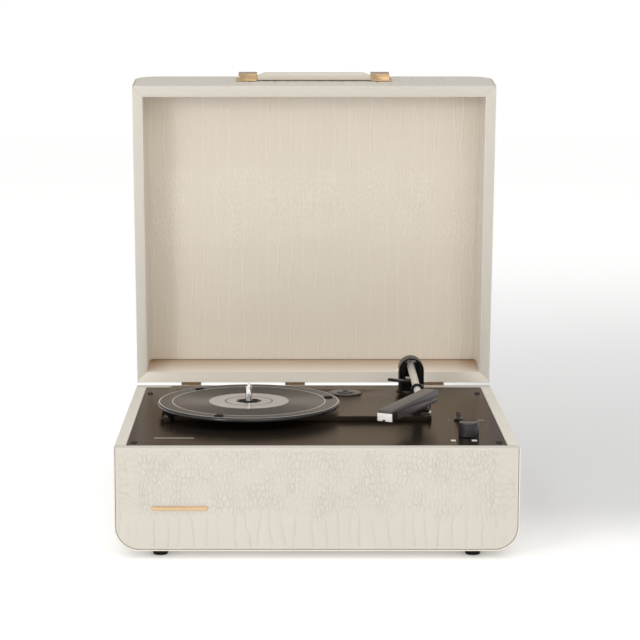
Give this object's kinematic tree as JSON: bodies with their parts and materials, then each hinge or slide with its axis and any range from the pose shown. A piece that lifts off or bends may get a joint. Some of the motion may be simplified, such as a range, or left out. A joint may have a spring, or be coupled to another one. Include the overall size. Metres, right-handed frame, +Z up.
{
  "type": "suitcase record player",
  "caption": "Portable record player in a leatherette suitcase with a hinged lid, spinning platter, pivoting tonearm, cue lever, volume knob and speed switch.",
  "frame": {"origin": "on the floor under the middle of the object's bounding box, with the lid open", "axes": "+X the player's right side, +Y its back where the lid is hinged, +Z up"},
  "size_m": [0.42, 0.4332, 0.4879],
  "materials": {
    "leatherette": "cream leatherette with a pressed crocodile grain, satin",
    "liner": "cream leatherette with a pressed crocodile grain, satin",
    "strap": "smooth cream leatherette, satin",
    "deck": "near-black satin paint",
    "timber": "raw softwood and board",
    "black_screws": "black, satin",
    "platter": "black, semi-gloss",
    "black_plastic": "black, satin",
    "rubber": "black, matt",
    "steel": "bright, polished",
    "arm_tube": "satin",
    "headshell": "dark grey, satin",
    "cartridge": "white, satin",
    "gold": "polished gold",
    "bronze": "dark bronze, satin",
    "circuit_board": "green laminate"
  },
  "bodies": {
    "case": {"base_band": "leatherette", "base_front_panel": "leatherette", "base_back_panel": "leatherette", "deck_frame": "timber", "deck_plate": "deck", "deck_screw_front_left": "black_screws", "deck_screw_front_right": "black_screws", "deck_screw_back_left": "black_screws", "deck_screw_back_right": "black_screws", "turntable_chassis": "deck", "chassis_screw_left": "black_screws", "chassis_screw_right": "black_screws", "spindle_bearing": "steel", "motor": "steel", "arm_rest": "black_plastic", "volume_pot": "steel", "speed_switch": "black_plastic", "amplifier_board": "circuit_board", "speaker_left": "black_plastic", "speaker_right": "black_plastic", "jack_panel": "black_plastic", "foot_front_left": "rubber", "foot_front_right": "rubber", "foot_back_left": "rubber", "foot_back_right": "rubber", "front_badge": "gold", "hinge_left_base_leaf": "bronze", "hinge_middle_base_leaf": "bronze", "hinge_right_base_leaf": "bronze"},
    "lid": {"lid_band": "leatherette", "lid_front_panel": "leatherette", "lid_back_panel": "leatherette", "lid_liner": "liner", "handle_bracket_left": "gold", "handle_bracket_right": "gold", "strap_end_left": "strap", "strap_end_right": "strap", "hinge_left_lid_leaf": "bronze", "hinge_middle_lid_leaf": "bronze", "hinge_right_lid_leaf": "bronze"},
    "handle": {"handle_grip": "strap"},
    "platter": {"platter": "platter", "platter_mat": "platter", "rubber_pad_1": "rubber", "rubber_pad_2": "rubber", "rubber_pad_3": "rubber", "spindle": "steel"},
    "pulley": {"motor_pulley": "steel"},
    "yoke": {"tonearm_yoke": "black_plastic", "tonearm_pivot_pin": "steel"},
    "tonearm": {"tonearm_tube": "arm_tube", "tube_collar": "black_plastic", "headshell": "headshell", "cartridge": "cartridge", "stylus": "steel"},
    "cue_lever": {"cue_lever": "steel"},
    "lift_bar": {"lift_bar": "black_plastic"},
    "knob": {"volume_knob": "black_plastic"},
    "speed_lever": {"speed_lever": "black_plastic"},
    "adapter": {"adapter_45": "black_plastic"}
  },
  "joints": [
    {"name": "lid_hinge", "type": "hinge", "parent": "case", "child": "lid", "pos_m": [0, 0.14281, 0.1177], "axis": [-1, 0, 0], "range_deg": [-84, 0]},
    {"name": "handle_lift", "type": "slide", "parent": "lid", "child": "handle", "axis": [0, -0.1045, 0.9945], "range_m": [0, 0.018]},
    {"name": "platter_spin", "type": "hinge", "parent": "case", "child": "platter", "pos_m": [-0.0736, -0.02829, 0.1267], "axis": [0, 0, 1], "continuous": true},
    {"name": "pulley_spin", "type": "hinge", "parent": "case", "child": "pulley", "pos_m": [-0.13948, 0.02699, 0.1257], "axis": [0, 0, 1], "continuous": true},
    {"name": "tonearm_swing", "type": "hinge", "parent": "case", "child": "yoke", "pos_m": [0.1123, 0.07271, 0.1367], "axis": [0, 0, 1], "range_deg": [-38.5, 0]},
    {"name": "tonearm_lift", "type": "hinge", "parent": "yoke", "child": "tonearm", "pos_m": [0.1123, 0.07271, 0.1477], "axis": [-1, 0, 0], "range_deg": [0, 10]},
    {"name": "cue_lever_hinge", "type": "hinge", "parent": "case", "child": "cue_lever", "pos_m": [0.1254, -0.04229, 0.1266], "axis": [-1, 0, 0], "range_deg": [0, 13]},
    {"name": "lift_bar_slide", "type": "slide", "parent": "case", "child": "lift_bar", "axis": [0, 0, 1], "range_m": [0, 0.0039]},
    {"name": "volume_knob_turn", "type": "hinge", "parent": "case", "child": "knob", "pos_m": [0.1614, -0.15179, 0.1267], "axis": [0, 0, -1], "range_deg": [0, 300]},
    {"name": "speed_select", "type": "slide", "parent": "case", "child": "speed_lever", "axis": [1, 0, 0], "range_m": [0, 0.015]},
    {"name": "adapter_lift", "type": "slide", "parent": "case", "child": "adapter", "axis": [0, 0, 1], "range_m": [0, 0.03]}
  ],
  "couplings": [
    {"joint": "pulley_spin", "follows": "platter_spin", "ratio": 16},
    {"joint": "lift_bar_slide", "follows": "cue_lever_hinge", "m_per_rad": 0.0165}
  ]
}
